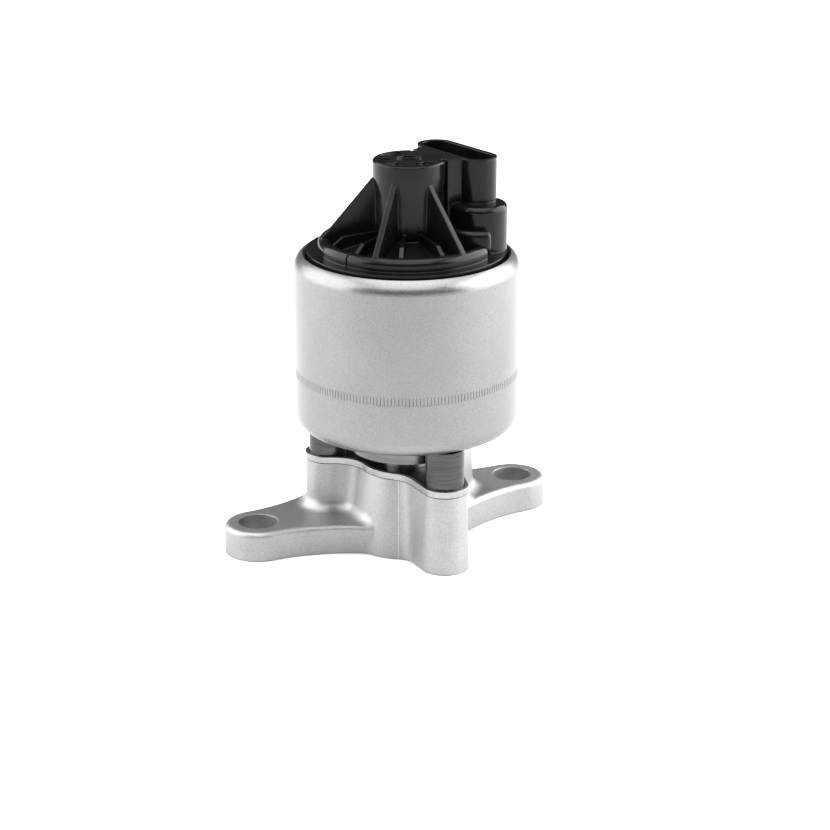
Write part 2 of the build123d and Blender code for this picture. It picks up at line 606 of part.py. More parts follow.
def pintle_shaft():
    """Shaft from the valve head to the armature, with a stub for the sensor."""
    return turned((0, HEAD_RIM_Z), (SHAFT_R, HEAD_RIM_Z), (SHAFT_R, POCKET_FLOOR_Z),
                  (SHAFT_STUB_R, POCKET_FLOOR_Z), (SHAFT_STUB_R, SHAFT_TOP_Z),
                  (0, SHAFT_TOP_Z))


def armature():
    """Soft-iron armature pressed on the shaft, with a pocket for the spring."""
    return turned((SHAFT_R, ARMATURE_BOTTOM_Z), (ARMATURE_R, ARMATURE_BOTTOM_Z),
                  (ARMATURE_R, ARMATURE_TOP_Z), (SPRING_POCKET_R, ARMATURE_TOP_Z),
                  (SPRING_POCKET_R, POCKET_FLOOR_Z), (SHAFT_R, POCKET_FLOOR_Z))


def retaining_ring():
    """Ring on the shaft's stub that keeps the armature on its shoulder."""
    return ring(SNAP_RING_R, SHAFT_STUB_R, POCKET_FLOOR_Z, POCKET_FLOOR_Z + SNAP_RING_T)


def coil_spring(radius, wire_r, bottom, top, turns):
    """Helical compression spring between two seats."""
    height = top - bottom - 2 * wire_r
    path = Pos(0, 0, bottom + wire_r) * Helix(height / turns, height, radius)
    section = Plane(origin=path @ 0, z_dir=path % 0) * RegularPolygon(wire_r, 8)
    return sweep(section, path, is_frenet=True)


def return_spring():
    """Spring that pushes the pintle shut."""
    return coil_spring(SPRING_R, SPRING_WIRE_R, POCKET_FLOOR_Z, SPRING_SEAT_Z, SPRING_TURNS)


# ---------------------------------------------------------------- position sensor
def sensor_plunger():
    """Plastic plunger that follows the shaft, with a pocket for the wiper."""
    plunger = turned((0, PLUNGER_TIP_Z), (PLUNGER_TIP_R, PLUNGER_TIP_Z),
                     (PLUNGER_TIP_R, PLUNGER_BODY_Z), (PLUNGER_R, PLUNGER_BODY_Z),
                     (PLUNGER_R, PLUNGER_TOP_Z), (0, PLUNGER_TOP_Z))
    root = Pos(-PLUNGER_R, 0, WIPER_Z) * Box(
        2 * WIPER_ROOT, WIPER_W, WIPER_H, align=(Align.CENTER, Align.CENTER, Align.MIN))
    return Rot(0, 0, CAP_TURN) * (plunger - root)


def wiper_contact():
    """Sprung contact in the plunger that runs along the resistive track."""
    wiper = Pos(-PLUNGER_R - WIPER_REACH, 0, WIPER_Z) * Box(
        WIPER_ROOT + WIPER_REACH, WIPER_W, WIPER_H,
        align=(Align.MIN, Align.CENTER, Align.MIN))
    return Rot(0, 0, CAP_TURN) * wiper


def track_box(clearance):
    """Block of the resistive track, grown sideways by a clearance."""
    return Pos(-TRACK_U, 0, TRACK_TOP_Z) * Box(
        TRACK_T, TRACK_W + 2 * clearance, TRACK_TOP_Z - TRACK_BOTTOM_Z,
        align=(Align.MAX, Align.CENTER, Align.MAX))


def sensor_track():
    """Ceramic plate with the resistive track."""
    return Rot(0, 0, CAP_TURN) * track_box(0)


def sensor_spring():
    """Light spring that keeps the plunger on the shaft."""
    return coil_spring(SENSOR_SPRING_R, SENSOR_SPRING_WIRE_R, PLUNGER_TOP_Z,
                       SENSOR_BORE_TOP_Z, SENSOR_SPRING_TURNS)


# --------------------------------------------------------------------- sensor cap
def shroud_plan(inset=0):
    """Rounded plan of the connector shroud, drawn in by an inset."""
    slot = SlotOverall(SHROUD_LENGTH - 2 * inset, SHROUD_WIDTH - 2 * inset)
    return Pos(SHROUD_U, 0) * Rot(0, 0, 90) * slot


def pedestal_plan(growth=0):
    """Rounded plan of the connector's pedestal, grown by a margin."""
    slot = SlotOverall(PEDESTAL_LENGTH + 2 * growth, PEDESTAL_WIDTH + 2 * growth)
    return Pos(PEDESTAL_U, 0) * Rot(0, 0, 90) * slot


def cap_roof():
    """Turned roof and skirt of the cap, hollow underneath."""
    return turned((0, HUB_Z), (TOWER_FOOT_R, HUB_Z), (BEAD_IN_R, RIM_Z),
                  (BEAD_OUT_R, RING_Z), (RING_R, RING_Z),
                  (RING_R, SKIRT_TOP_Z + SKIRT_CHAMFER), (SKIRT_R, SKIRT_TOP_Z),
                  (SKIRT_R, SKIRT_BOTTOM_Z), (CAVITY_R, SKIRT_BOTTOM_Z),
                  (CAVITY_R, RING_Z - ROOF_WALL),
                  (BEAD_IN_R, RIM_Z - ROOF_WALL),
                  (TOWER_FOOT_R, HUB_Z - ROOF_WALL), (0, HUB_Z - ROOF_WALL))


def cap_bead():
    """Rounded bead around the roof, open towards the connector."""
    foot_z = RING_Z - ROOF_WALL / 2
    inner_z = BEAD_TOP_Z - 0.3 * BEAD_WIDTH
    outer_z = BEAD_TOP_Z - 0.5 * BEAD_WIDTH
    section = make_face([
        Line((BEAD_IN_R, 0, foot_z), (BEAD_IN_R, 0, inner_z)),
        ThreePointArc((BEAD_IN_R, 0, inner_z), (BEAD_R, 0, BEAD_TOP_Z), (BEAD_OUT_R, 0, outer_z)),
        Polyline((BEAD_OUT_R, 0, outer_z), (BEAD_OUT_R, 0, foot_z), (BEAD_IN_R, 0, foot_z)),
    ])
    bead = revolve(Rot(0, 0, 180 - BEAD_SPAN) * section, Axis.Z, 2 * BEAD_SPAN)
    slit = Pos(BEAD_OUT_R, 0, RING_Z) * Box(
        BEAD_WIDTH, BEAD_SLIT_W, 2 * BEAD_H, align=(Align.CENTER, Align.CENTER, Align.MIN))
    return bead - Rot(0, 0, BEAD_SLIT_ANGLE) * slit


def fin(thickness, angle, *points):
    """Upright plate standing on a ray from the valve axis, by (radius, height)."""
    side = make_face(Polyline(*[(r, 0, z) for r, z in points], close=True))
    plate = extrude(side, thickness / 2, dir=(0, 1, 0), both=True)
    return Rot(0, 0, angle) * plate


def cap_fins():
    """Tall gussets that stay the tower, and low ribs between them."""
    root_r = TOWER_FOOT_R - TOWER_SHIFT - GUSSET_T
    foot_z = RIM_Z - ROOF_WALL / 2
    bead_out = BEAD_R + BEAD_WIDTH / 4
    bead_in = BEAD_R - BEAD_WIDTH / 4
    gussets = [fin(GUSSET_T, angle, (root_r, foot_z), (root_r, GUSSET_TOP_Z),
                   (TOWER_FOOT_R, GUSSET_TOP_Z), (bead_out, BEAD_TOP_Z), (bead_out, foot_z))
               for angle in GUSSET_ANGLES]
    ribs = [fin(RIB_T, angle, (root_r, foot_z), (root_r, HUB_Z + RIB_RISE),
                (TOWER_FOOT_R, HUB_Z + RIB_RISE), (RIB_KINK_R, HUB_Z + RIB_KINK_RISE),
                (bead_in, BEAD_TOP_Z), (bead_in, foot_z))
            for angle in RIB_ANGLES]
    return gussets + ribs


def cap_tower():
    """Round sensor tower that widens to its head, with shallow pockets in its top."""
    tower = turned((0, RIM_Z), (TOWER_FOOT_R, RIM_Z),
                   (TOWER_NECK_R, TOWER_HEAD_Z - TOWER_FLARE_H), (TOWER_R, TOWER_HEAD_Z),
                   (TOWER_R, TOWER_TOP_Z), (0, TOWER_TOP_Z))
    tower = chamfer(tower.edges().group_by(Axis.Z)[-1], TOWER_EDGE)
    pockets = Circle(POCKET_OUTER_R) - Circle(POCKET_INNER_R)
    for angle in POCKET_ARM_ANGLES:
        arm = Pos(TOWER_R / 2, 0) * Rectangle(TOWER_R, POCKET_ARM_W)
        pockets -= Rot(0, 0, angle) * arm
    first, last = POCKET_ARM_ANGLES[0], POCKET_ARM_ANGLES[-1]
    web_side = make_face(Polyline((0, 0), polar(2 * TOWER_R, first), (3 * TOWER_R, 0),
                                  polar(2 * TOWER_R, last), close=True))
    pockets = pockets - web_side + Circle(POCKET_CENTRE_R)
    tower -= Pos(0, 0, TOWER_TOP_Z - POCKET_DEPTH) * extrude(pockets, POCKET_DEPTH)
    return Pos(TOWER_SHIFT, 0) * tower


def cap_bridge():
    """Web that widens from the tower to the connector shroud."""
    shroud_face = SHROUD_U - SHROUD_WIDTH / 2 + SHROUD_WALL / 2
    root_u = TOWER_SHIFT + TOWER_FOOT_R / 2
    plan = make_face(Polyline((root_u, -BRIDGE_HALF_W), (GROOVE_U, -BRIDGE_HALF_W),
                              (shroud_face, -BRIDGE_SHROUD_HALF_W),
                              (shroud_face, BRIDGE_SHROUD_HALF_W),
                              (GROOVE_U, BRIDGE_HALF_W), (root_u, BRIDGE_HALF_W), close=True))
    return Pos(0, 0, RIM_Z) * extrude(plan, TOWER_TOP_Z - RIM_Z)


def cap_grooves():
    """Two upright grooves where the web leaves the tower."""
    reach = BRIDGE_HALF_W + GROOVE_DEPTH
    height = TOWER_TOP_Z - HUB_Z
    groove = Pos(GROOVE_U, BRIDGE_HALF_W - GROOVE_DEPTH, HUB_Z) * Box(
        GROOVE_W, reach, height, align=(Align.CENTER, Align.MIN, Align.MIN))
    return [groove, mirror(groove, Plane.XZ)]


def cap_pedestal():
    """Pedestal of the connector, rounded at the top, within the flat ring."""
    foot_z = RING_Z - ROOF_WALL / 2
    pedestal = Pos(0, 0, foot_z) * extrude(pedestal_plan(), PEDESTAL_TOP_Z - foot_z)
    pedestal = fillet(pedestal.edges().group_by(Axis.Z)[-1], PEDESTAL_EDGE_R)
    return pedestal & disc(RING_R, foot_z, PEDESTAL_TOP_Z)


def cap_ridge():
    """Rounded ridge that carries the bead on around the pedestal, across a groove."""
    foot_z = RING_Z - ROOF_WALL / 2
    plan = pedestal_plan(RIDGE_GAP + RIDGE_WIDTH) - pedestal_plan(RIDGE_GAP)
    ridge = Pos(0, 0, foot_z) * extrude(plan, RIDGE_TOP_Z - foot_z)
    ridge = fillet(ridge.edges().group_by(Axis.Z)[-1], 0.45 * RIDGE_WIDTH)
    return ridge & disc(BEAD_R, foot_z, RIDGE_TOP_Z)


def pin_boxes():
    """Blades of the connector pins, in line across the socket."""
    first = -(PIN_COUNT - 1) / 2 * PIN_PITCH
    blade = Box(PIN_T, PIN_WIDTH, PIN_TOP_Z - PIN_TAIL_Z,
                align=(Align.CENTER, Align.CENTER, Align.MIN))
    return [Pos(SHROUD_U, first + i * PIN_PITCH, PIN_TAIL_Z) * blade for i in range(PIN_COUNT)]


def sensor_cap():
    """Moulded cap: roof, bead, fins, sensor tower and connector in one piece."""
    body = joined([cap_roof(), cap_tower(), cap_bridge()])
    for groove in cap_grooves():
        body -= groove
    shroud = Pos(0, 0, SOCKET_FLOOR_Z) * extrude(shroud_plan(), SOCKET_DEPTH)
    cap = joined([body, cap_pedestal(), cap_ridge(), shroud, cap_bead()] + cap_fins())
    cap -= Pos(0, 0, SOCKET_FLOOR_Z) * extrude(
        shroud_plan(SHROUD_WALL), TOWER_TOP_Z - SOCKET_FLOOR_Z)
    cap -= disc(PLUNGER_R + FIT, HUB_Z - ROOF_WALL, SENSOR_BORE_TOP_Z)
    cavity_z = HUB_Z - ROOF_WALL
    channel = Box(TRACK_U, WIPER_W + 4 * FIT,
                  TRACK_TOP_Z - cavity_z, align=(Align.MAX, Align.CENTER, Align.MIN))
    cap -= Pos(0, 0, cavity_z) * channel
    cap -= track_box(0)
    for blade in pin_boxes():
        cap -= blade
    return Rot(0, 0, CAP_TURN) * cap


def connector_pins():
    """Blades of the connector, moulded into the socket's floor."""
    return Compound(children=[Rot(0, 0, CAP_TURN) * blade for blade in pin_boxes()])


NODES = {
    "valve_base": valve_base,
    "valve_seat": valve_seat,
    "shaft_bearing": shaft_bearing,
    "cover_plate": cover_plate,
    "standoffs": standoffs,
    "clamp_screws": clamp_screws,
    "seal_cup": seal_cup,
    "shaft_seal": shaft_seal,
    "solenoid_can": solenoid_can,
    "lower_pole": lower_pole,
    "guide_sleeve": guide_sleeve,
    "upper_pole": upper_pole,
    "coil_bobbin": coil_bobbin,
    "coil_winding": coil_winding,
    "coil_leads": coil_leads,
    "terminal_carrier": terminal_carrier,
    "cap_gasket": cap_gasket,
    "sensor_cap": sensor_cap,
    "connector_pins": connector_pins,
    "sensor_track": sensor_track,
    "valve_head": valve_head,
    "pintle_shaft": pintle_shaft,
    "armature": armature,
    "retaining_ring": retaining_ring,
    "return_spring": return_spring,
    "sensor_plunger": sensor_plunger,
    "wiper_contact": wiper_contact,
    "sensor_spring": sensor_spring,
}

os.makedirs("parts", exist_ok=True)
for node, build in NODES.items():
    export_step(build(), f"parts/{node}.step")
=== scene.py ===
import json
from math import cos, pi, radians, sin

import bpy
import numpy as np
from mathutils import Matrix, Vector


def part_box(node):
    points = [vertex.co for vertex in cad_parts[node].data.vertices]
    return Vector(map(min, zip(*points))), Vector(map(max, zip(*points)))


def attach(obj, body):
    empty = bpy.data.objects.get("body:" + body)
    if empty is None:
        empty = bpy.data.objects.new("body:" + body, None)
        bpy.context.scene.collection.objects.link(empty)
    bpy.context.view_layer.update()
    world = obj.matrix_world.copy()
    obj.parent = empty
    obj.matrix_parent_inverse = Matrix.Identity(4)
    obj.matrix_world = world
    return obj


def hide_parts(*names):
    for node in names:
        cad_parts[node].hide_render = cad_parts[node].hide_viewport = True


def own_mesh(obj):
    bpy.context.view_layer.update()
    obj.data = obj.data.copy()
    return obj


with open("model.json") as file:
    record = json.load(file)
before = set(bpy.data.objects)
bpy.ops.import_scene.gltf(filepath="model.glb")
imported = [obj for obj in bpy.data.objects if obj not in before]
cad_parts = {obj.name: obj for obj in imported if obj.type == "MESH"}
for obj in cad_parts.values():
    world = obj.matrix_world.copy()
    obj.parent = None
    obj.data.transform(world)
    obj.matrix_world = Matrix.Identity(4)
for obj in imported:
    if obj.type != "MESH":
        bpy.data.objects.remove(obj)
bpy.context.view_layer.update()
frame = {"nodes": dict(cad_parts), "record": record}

MM = 0.001
MICRON = 1e-6

# The can, its rolled band and the band's strokes
CAN_R = 27.5 * MM
BAND_Z = 45.7 * MM              # middle of the band
BAND_H = 2.3 * MM
BAND_TEETH = 200
BAND_FIT = 0.02 * MM            # band's ends, inside the groove's
STROKE_SINK = 0.005 * MM        # ridges between the strokes, below the can's face
STROKE_DEPTH = 0.125 * MM
BAND_WALL = 0.13 * MM           # band's inner face, below the can's
SHADE_DARKEST_R = CAN_R - 0.12 * MM    # radius at which the painted shade in the strokes' valleys is darkest
SHADE_END_R = CAN_R - 0.02 * MM      # radius at which the painted shade ends and the strokes are as pale as the can

# The casting's parting plane, and the tray on the casting
PARTING_NORMAL = (0.8894, -0.4571, 0.0)
PARTING_OFFSET = -2.11 * MM
PARTING_REACH = 0.5 * MM        # half the width that the line's tones are given over
TRAY_FOOT_Z = 19.8 * MM
TRAY_FLOOR_Z = 20.8 * MM

# The ridge around the connector's pedestal, in the cap's own plan, in mm
CAP_TURN = radians(10.5)
RIDGE_U = 5.65                  # straight part
RIDGE_V = 3.5                   # where the crest starts on it
END_U, END_V, END_R = 14.6, 10.0, 8.95
CREST_HALF_WIDTH = 1.29
CREST_TOP_Z = 82.2
CREST_FOOT_Z = 76.4

SPRING_SEAT_GAP = 0.03 * MM


# ---------------------------------------------------------------- node helpers
def add(tree, kind, place=(0, 0), **values):
    """One node of a tree, with named input sockets or plain properties set."""
    node = tree.nodes.new(kind)
    node.location = place
    for name, value in values.items():
        socket = name.replace("_", " ")
        if socket in node.inputs:
            node.inputs[socket].default_value = value
        else:
            setattr(node, name, value)
    return node


def group(name, inputs, outputs):
    """An empty shader node group with the named sockets."""
    tree = bpy.data.node_groups.new(name, "ShaderNodeTree")
    for label, kind, value in inputs:
        socket = tree.interface.new_socket(label, in_out="INPUT", socket_type=kind)
        if value is not None:
            socket.default_value = value
    for label, kind in outputs:
        tree.interface.new_socket(label, in_out="OUTPUT", socket_type=kind)
    entry = tree.nodes.new("NodeGroupInput")
    leave = tree.nodes.new("NodeGroupOutput")
    entry.location, leave.location = (-700, 0), (700, 0)
    return tree, entry, leave


def place_group(tree, shared, place, coordinates, **values):
    """A shared group in a material, fed with object coordinates."""
    node = tree.nodes.new("ShaderNodeGroup")
    node.node_tree = shared
    node.location = place
    tree.links.new(coordinates, node.inputs["Coordinates"])
    for name, value in values.items():
        node.inputs[name.replace("_", " ")].default_value = value
    return node


# ------------------------------------------------------- shared surface effects
def blast_grain_group():
    """Fine grain of a blasted or cast skin: two noises, one ten times coarser."""
    tree, entry, leave = group(
        "blast_grain",
        [("Coordinates", "NodeSocketVector", None), ("Grain", "NodeSocketFloat", 2600.0),
         ("Clouding", "NodeSocketFloat", 90.0)],
        [("Height", "NodeSocketFloat"), ("Speckle", "NodeSocketFloat"),
         ("Cloud", "NodeSocketFloat")])
    fine = add(tree, "ShaderNodeTexNoise", (-400, 200), Detail=3.0, Roughness=0.6)
    pits = add(tree, "ShaderNodeTexVoronoi", (-400, -50))
    cloud = add(tree, "ShaderNodeTexNoise", (-400, -300), Detail=4.0, Roughness=0.55)
    half = add(tree, "ShaderNodeMath", (-600, -80), operation="MULTIPLY")
    half.inputs[1].default_value = 0.6
    mix = add(tree, "ShaderNodeMath", (-100, 100), operation="MULTIPLY_ADD")
    mix.inputs[1].default_value = 0.5
    link = tree.links.new
    for noise in (fine, pits, cloud):
        link(entry.outputs["Coordinates"], noise.inputs["Vector"])
    link(entry.outputs["Grain"], fine.inputs["Scale"])
    link(entry.outputs["Grain"], half.inputs[0])
    link(half.outputs[0], pits.inputs["Scale"])
    link(entry.outputs["Clouding"], cloud.inputs["Scale"])
    link(pits.outputs["Distance"], mix.inputs[0])
    link(fine.outputs["Fac"], mix.inputs[2])
    link(mix.outputs[0], leave.inputs["Height"])
    link(fine.outputs["Fac"], leave.inputs["Speckle"])
    link(cloud.outputs["Fac"], leave.inputs["Cloud"])
    return tree


def turning_marks_group():
    """Marks that run around the valve axis: noise of height and radius, stretched round."""
    tree, entry, leave = group(
        "turning_marks",
        [("Coordinates", "NodeSocketVector", None), ("Fineness", "NodeSocketFloat", 1.0)],
        [("Height", "NodeSocketFloat"), ("Tone", "NodeSocketFloat")])
    stretch = add(tree, "ShaderNodeMapping", (-450, 100), Scale=(60.0, 60.0, 1500.0))
    noise = add(tree, "ShaderNodeTexNoise", (-200, 100), Detail=2.0)
    broad = add(tree, "ShaderNodeMapping", (-450, -200), Scale=(25.0, 25.0, 420.0))
    tone = add(tree, "ShaderNodeTexNoise", (-200, -200), Detail=3.0)
    link = tree.links.new
    for mapping, texture in ((stretch, noise), (broad, tone)):
        link(entry.outputs["Coordinates"], mapping.inputs["Vector"])
        link(mapping.outputs["Vector"], texture.inputs["Vector"])
        link(entry.outputs["Fineness"], texture.inputs["Scale"])
    link(noise.outputs["Fac"], leave.inputs["Height"])
    link(tone.outputs["Fac"], leave.inputs["Tone"])
    return tree


BLAST_GRAIN = blast_grain_group()
TURNING_MARKS = turning_marks_group()


def new_material(name, **shader_values):
    """Material with its shader, output and object coordinates ready."""
    material = bpy.data.materials.new(name)
    material.use_nodes = True
    tree = material.node_tree
    shader = tree.nodes["Principled BSDF"]
    for label, value in shader_values.items():
        shader.inputs[label.replace("_", " ")].default_value = value
    material.diffuse_color = (*shader.inputs["Base Color"].default_value[:3], 1)
    coordinates = add(tree, "ShaderNodeTexCoord", (-1200, 0))
    return material, tree, shader, coordinates.outputs["Object"]


def tone_ramp(tree, factor, dark, light, place, low=0.3, high=0.7):
    """Colour that runs from dark to light as the factor runs from low to high."""
    ramp = add(tree, "ShaderNodeValToRGB", place)
    ramp.color_ramp.elements[0].position = low
    ramp.color_ramp.elements[1].position = high
    ramp.color_ramp.elements[0].color = (*dark, 1)
    ramp.color_ramp.elements[1].color = (*light, 1)
    tree.links.new(factor, ramp.inputs["Fac"])
    return ramp.outputs["Color"]


def ranged(tree, value, low, high, start, end, place):
    """Value that runs from start to end as the given one runs from low to high."""
    mapping = add(tree, "ShaderNodeMapRange", place)
    mapping.inputs["From Min"].default_value = low
    mapping.inputs["From Max"].default_value = high
    mapping.inputs["To Min"].default_value = start
    mapping.inputs["To Max"].default_value = end
    tree.links.new(value, mapping.inputs["Value"])
    return mapping.outputs["Result"]


def spread(tree, factor, low, high, place):
    """Value that runs from low to high over the middle of a noise."""
    return ranged(tree, factor, 0.3, 0.7, low, high, place)


def tinted(tree, colour, tint, place):
    """Colour multiplied by a second colour or value."""
    mix = add(tree, "ShaderNodeMix", place, data_type="RGBA", blend_type="MULTIPLY")
    mix.inputs["Factor"].default_value = 1.0
    tree.links.new(colour, mix.inputs[6])
    tree.links.new(tint, mix.inputs[7])
    return mix.outputs[2]


def bump(tree, height, depth, place, strength=1.0, over=None):
    """Bump of a given depth in metres, over an earlier normal if there is one."""
    node = add(tree, "ShaderNodeBump", place, Strength=strength, Distance=depth)
    tree.links.new(height, node.inputs["Height"])
    if over is not None:
        tree.links.new(over, node.inputs["Normal"])
    return node.outputs["Normal"]


def rounded_normal(tree, radius, place):
    """Normal that turns smoothly over each sharp edge."""
    node = add(tree, "ShaderNodeBevel", place, Radius=radius)
    node.samples = 6
    return node.outputs["Normal"]


def connect(tree, shader, colour, roughness, normal):
    """Colour, roughness and normal into the shader."""
    tree.links.new(colour, shader.inputs["Base Color"])
    tree.links.new(roughness, shader.inputs["Roughness"])
    tree.links.new(normal, shader.inputs["Normal"])


# -------------------------------------------------------------------- materials
def parting_line(tree, coordinates, place):
    """Tone of the casting's parting line: a pale hairline where a vertical plane cuts it."""
    along = add(tree, "ShaderNodeVectorMath", place, operation="DOT_PRODUCT")
    along.inputs[1].default_value = PARTING_NORMAL
    tree.links.new(coordinates, along.inputs[0])
    across = ranged(tree, along.outputs["Value"], PARTING_OFFSET - PARTING_REACH,
                    PARTING_OFFSET + PARTING_REACH, 0.0, 1.0, (place[0] + 180, place[1]))
    ramp = add(tree, "ShaderNodeValToRGB", (place[0] + 360, place[1]))
    stops = ramp.color_ramp.elements
    stops[0].position, stops[1].position = 0.30, 0.70
    stops[0].color = stops[1].color = (1, 1, 1, 1)
    for position, tone in ((0.38, 0.92), (0.40, 1.45), (0.56, 1.45), (0.58, 0.90)):
        stops.new(position).color = (tone, tone, tone, 1)
    tree.links.new(across, ramp.inputs["Fac"])
    return ramp.outputs["Color"]


def cast_metal():
    """Blasted die casting: pale metal, an even fine grain, soft clouding, a parting line."""
    material, tree, shader, place = new_material("cast_aluminium", Metallic=0.88)
    grain = place_group(tree, BLAST_GRAIN, (-900, 0), place, Grain=3000.0, Clouding=120.0)
    speckle = tone_ramp(tree, grain.outputs["Speckle"], (0.275, 0.275, 0.272),
                        (0.385, 0.385, 0.38), (-650, 350), 0.32, 0.68)
    cloud = tone_ramp(tree, grain.outputs["Cloud"], (0.90, 0.90, 0.90), (1.0, 1.0, 1.0),
                      (-650, 100))
    colour = tinted(tree, speckle, cloud, (-350, 300))
    colour = tinted(tree, colour, parting_line(tree, place, (-900, 600)), (-150, 400))
    rough = spread(tree, grain.outputs["Speckle"], 0.43, 0.55, (-600, -100))
    normal = bump(tree, grain.outputs["Height"], 50 * MICRON, (-400, -250), 0.5,
                  rounded_normal(tree, 400 * MICRON, (-650, -400)))
    connect(tree, shader, colour, rough, normal)
    return material


def drawn_metal(name, strokes=False):
    """Drawn and blasted steel of the can: bright, with a fine even grain.

    With strokes, painted shade darkens the metal from the can's face to the strokes' valleys.
    """
    material, tree, shader, place = new_material(name, Metallic=0.92)
    grain = place_group(tree, BLAST_GRAIN, (-1000, 0), place, Grain=3000.0, Clouding=70.0)
    speckle = tone_ramp(tree, grain.outputs["Speckle"], (0.185, 0.185, 0.183),
                        (0.245, 0.245, 0.242), (-700, 400), 0.32, 0.68)
    cloud = tone_ramp(tree, grain.outputs["Cloud"], (0.92, 0.92, 0.92), (1.0, 1.0, 1.0),
                      (-700, 150))
    colour = tinted(tree, speckle, cloud, (-400, 300))
    if strokes:
        flat = add(tree, "ShaderNodeVectorMath", (-1000, 650), operation="MULTIPLY")
        flat.inputs[1].default_value = (1, 1, 0)
        radius = add(tree, "ShaderNodeVectorMath", (-850, 650), operation="LENGTH")
        tree.links.new(place, flat.inputs[0])
        tree.links.new(flat.outputs["Vector"], radius.inputs[0])
        # painted shade: the deeper the radius into a stroke's valley, the darker the metal
        shade = ranged(tree, radius.outputs["Value"], SHADE_DARKEST_R, SHADE_END_R, 0.18, 1.0, (-700, 650))
        colour = tinted(tree, colour, shade, (-200, 400))
    rough = spread(tree, grain.outputs["Speckle"], 0.26, 0.42, (-600, -100))
    normal = bump(tree, grain.outputs["Height"], 50 * MICRON, (-400, -250), 0.36)
    connect(tree, shader, colour, rough, normal)
    return material


def plain_metal(name, dark, light, rough, depth, fineness=1.0):
    """Turned or pressed metal with marks around the valve axis and a fine grain."""
    material, tree, shader, place = new_material(name, Metallic=1.0)
    marks = place_group(tree, TURNING_MARKS, (-900, 200), place, Fineness=fineness)
    grain = place_group(tree, BLAST_GRAIN, (-900, -100), place, Grain=2400.0, Clouding=200.0)
    colour = tone_ramp(tree, marks.outputs["Tone"], dark, light, (-500, 300), 0.35, 0.62)
    roughness = spread(tree, grain.outputs["Cloud"], rough - 0.06, rough + 0.08, (-500, 0))
    normal = bump(tree, marks.outputs["Height"], depth, (-400, -250), 0.6,
                  rounded_normal(tree, 200 * MICRON, (-650, -400)))
    connect(tree, shader, colour, roughness, normal)
    return material


def tray_metal():
    """Pressed tray: satin metal, with painted shade on its floor and along its joint with the
    casting.
    """
    material, tree, shader, place = new_material("tray_steel", Metallic=0.95)
    grain = place_group(tree, BLAST_GRAIN, (-1000, 0), place, Grain=2600.0, Clouding=260.0)
    colour = tone_ramp(tree, grain.outputs["Speckle"], (0.24, 0.24, 0.237),
                       (0.37, 0.37, 0.365), (-700, 300))
    split = add(tree, "ShaderNodeSeparateXYZ", (-1000, 500))
    tree.links.new(place, split.inputs[0])
    height = split.outputs["Z"]
    # painted shade: on its upward faces the tray's floor goes nearly black
    painted_floor_shade = ranged(tree, height, TRAY_FLOOR_Z + 0.05 * MM, TRAY_FLOOR_Z + 0.25 * MM,
                        0.02, 1.0, (-700, 600))
    facing = add(tree, "ShaderNodeNewGeometry", (-1000, 800))
    upward = add(tree, "ShaderNodeSeparateXYZ", (-850, 800))
    level = add(tree, "ShaderNodeMath", (-700, 800), operation="GREATER_THAN")
    level.inputs[1].default_value = 0.5
    floor = add(tree, "ShaderNodeMix", (-500, 700))
    floor.inputs["A"].default_value = 1.0
    tree.links.new(facing.outputs["Normal"], upward.inputs[0])
    tree.links.new(upward.outputs["Z"], level.inputs[0])
    tree.links.new(level.outputs[0], floor.inputs["Factor"])
    tree.links.new(painted_floor_shade, floor.inputs["B"])
    # painted shade: a dark line along the foot of the rim, in the crevice where the tray meets
    # the casting
    joint = ranged(tree, height, TRAY_FOOT_Z + 0.08 * MM, TRAY_FOOT_Z + 0.28 * MM,
                   0.10, 1.0, (-700, 1000))
    colour = tinted(tree, colour, floor.outputs[0], (-300, 400))
    colour = tinted(tree, colour, joint, (-150, 400))
    rough = spread(tree, grain.outputs["Speckle"], 0.26, 0.42, (-600, -100))
    normal = bump(tree, grain.outputs["Height"], 60 * MICRON, (-400, -250), 0.6,
                  rounded_normal(tree, 200 * MICRON, (-650, -400)))
    connect(tree, shader, colour, rough, normal)
    return material


def moulded_plastic(name, dark, light, rough, depth):
    """Moulded plastic: eased edges, a fine spark-eroded texture and faint clouding."""
    material, tree, shader, place = new_material(name, Metallic=0.0, Specular_IOR_Level=0.18)
    grain = place_group(tree, BLAST_GRAIN, (-900, 0), place, Grain=3200.0, Clouding=150.0)
    colour = tone_ramp(tree, grain.outputs["Cloud"], dark, light, (-500, 300))
    roughness = spread(tree, grain.outputs["Cloud"], rough - 0.05, rough + 0.07, (-500, 0))
    normal = bump(tree, grain.outputs["Height"], depth, (-400, -250), 0.4,
                  rounded_normal(tree, 450 * MICRON, (-650, -400)))
    connect(tree, shader, colour, roughness, normal)
    return material


# Each row: dark tone, light tone, roughness, depth of the marks, and for some their fineness.
METALS = {
    "plated_steel": ((0.26, 0.26, 0.256), (0.36, 0.36, 0.353), 0.28, 20 * MICRON),
    "dark_steel": ((0.05, 0.05, 0.05), (0.07, 0.07, 0.07), 0.30, 10 * MICRON, 6.0),
    "hard_steel": ((0.42, 0.41, 0.40), (0.56, 0.55, 0.53), 0.30, 10 * MICRON),
    "copper": ((0.62, 0.30, 0.16), (0.74, 0.40, 0.22), 0.30, 100 * MICRON, 1.6),
    "contact_metal": ((0.70, 0.64, 0.50), (0.82, 0.76, 0.60), 0.26, 10 * MICRON),
}
CUP_STEEL = ((0.09, 0.09, 0.088), (0.155, 0.155, 0.152), 0.26, 30 * MICRON, 1.3)
PLASTICS = {
    "black_plastic": ((0.0025, 0.0025, 0.0027), (0.005, 0.005, 0.0053), 0.20, 20 * MICRON),
    "bobbin_plastic": ((0.50, 0.45, 0.35), (0.57, 0.52, 0.42), 0.50, 20 * MICRON),
    "seal_rubber": ((0.010, 0.010, 0.010), (0.018, 0.018, 0.018), 0.70, 40 * MICRON),
    "ceramic": ((0.74, 0.73, 0.69), (0.82, 0.81, 0.77), 0.45, 10 * MICRON),
}

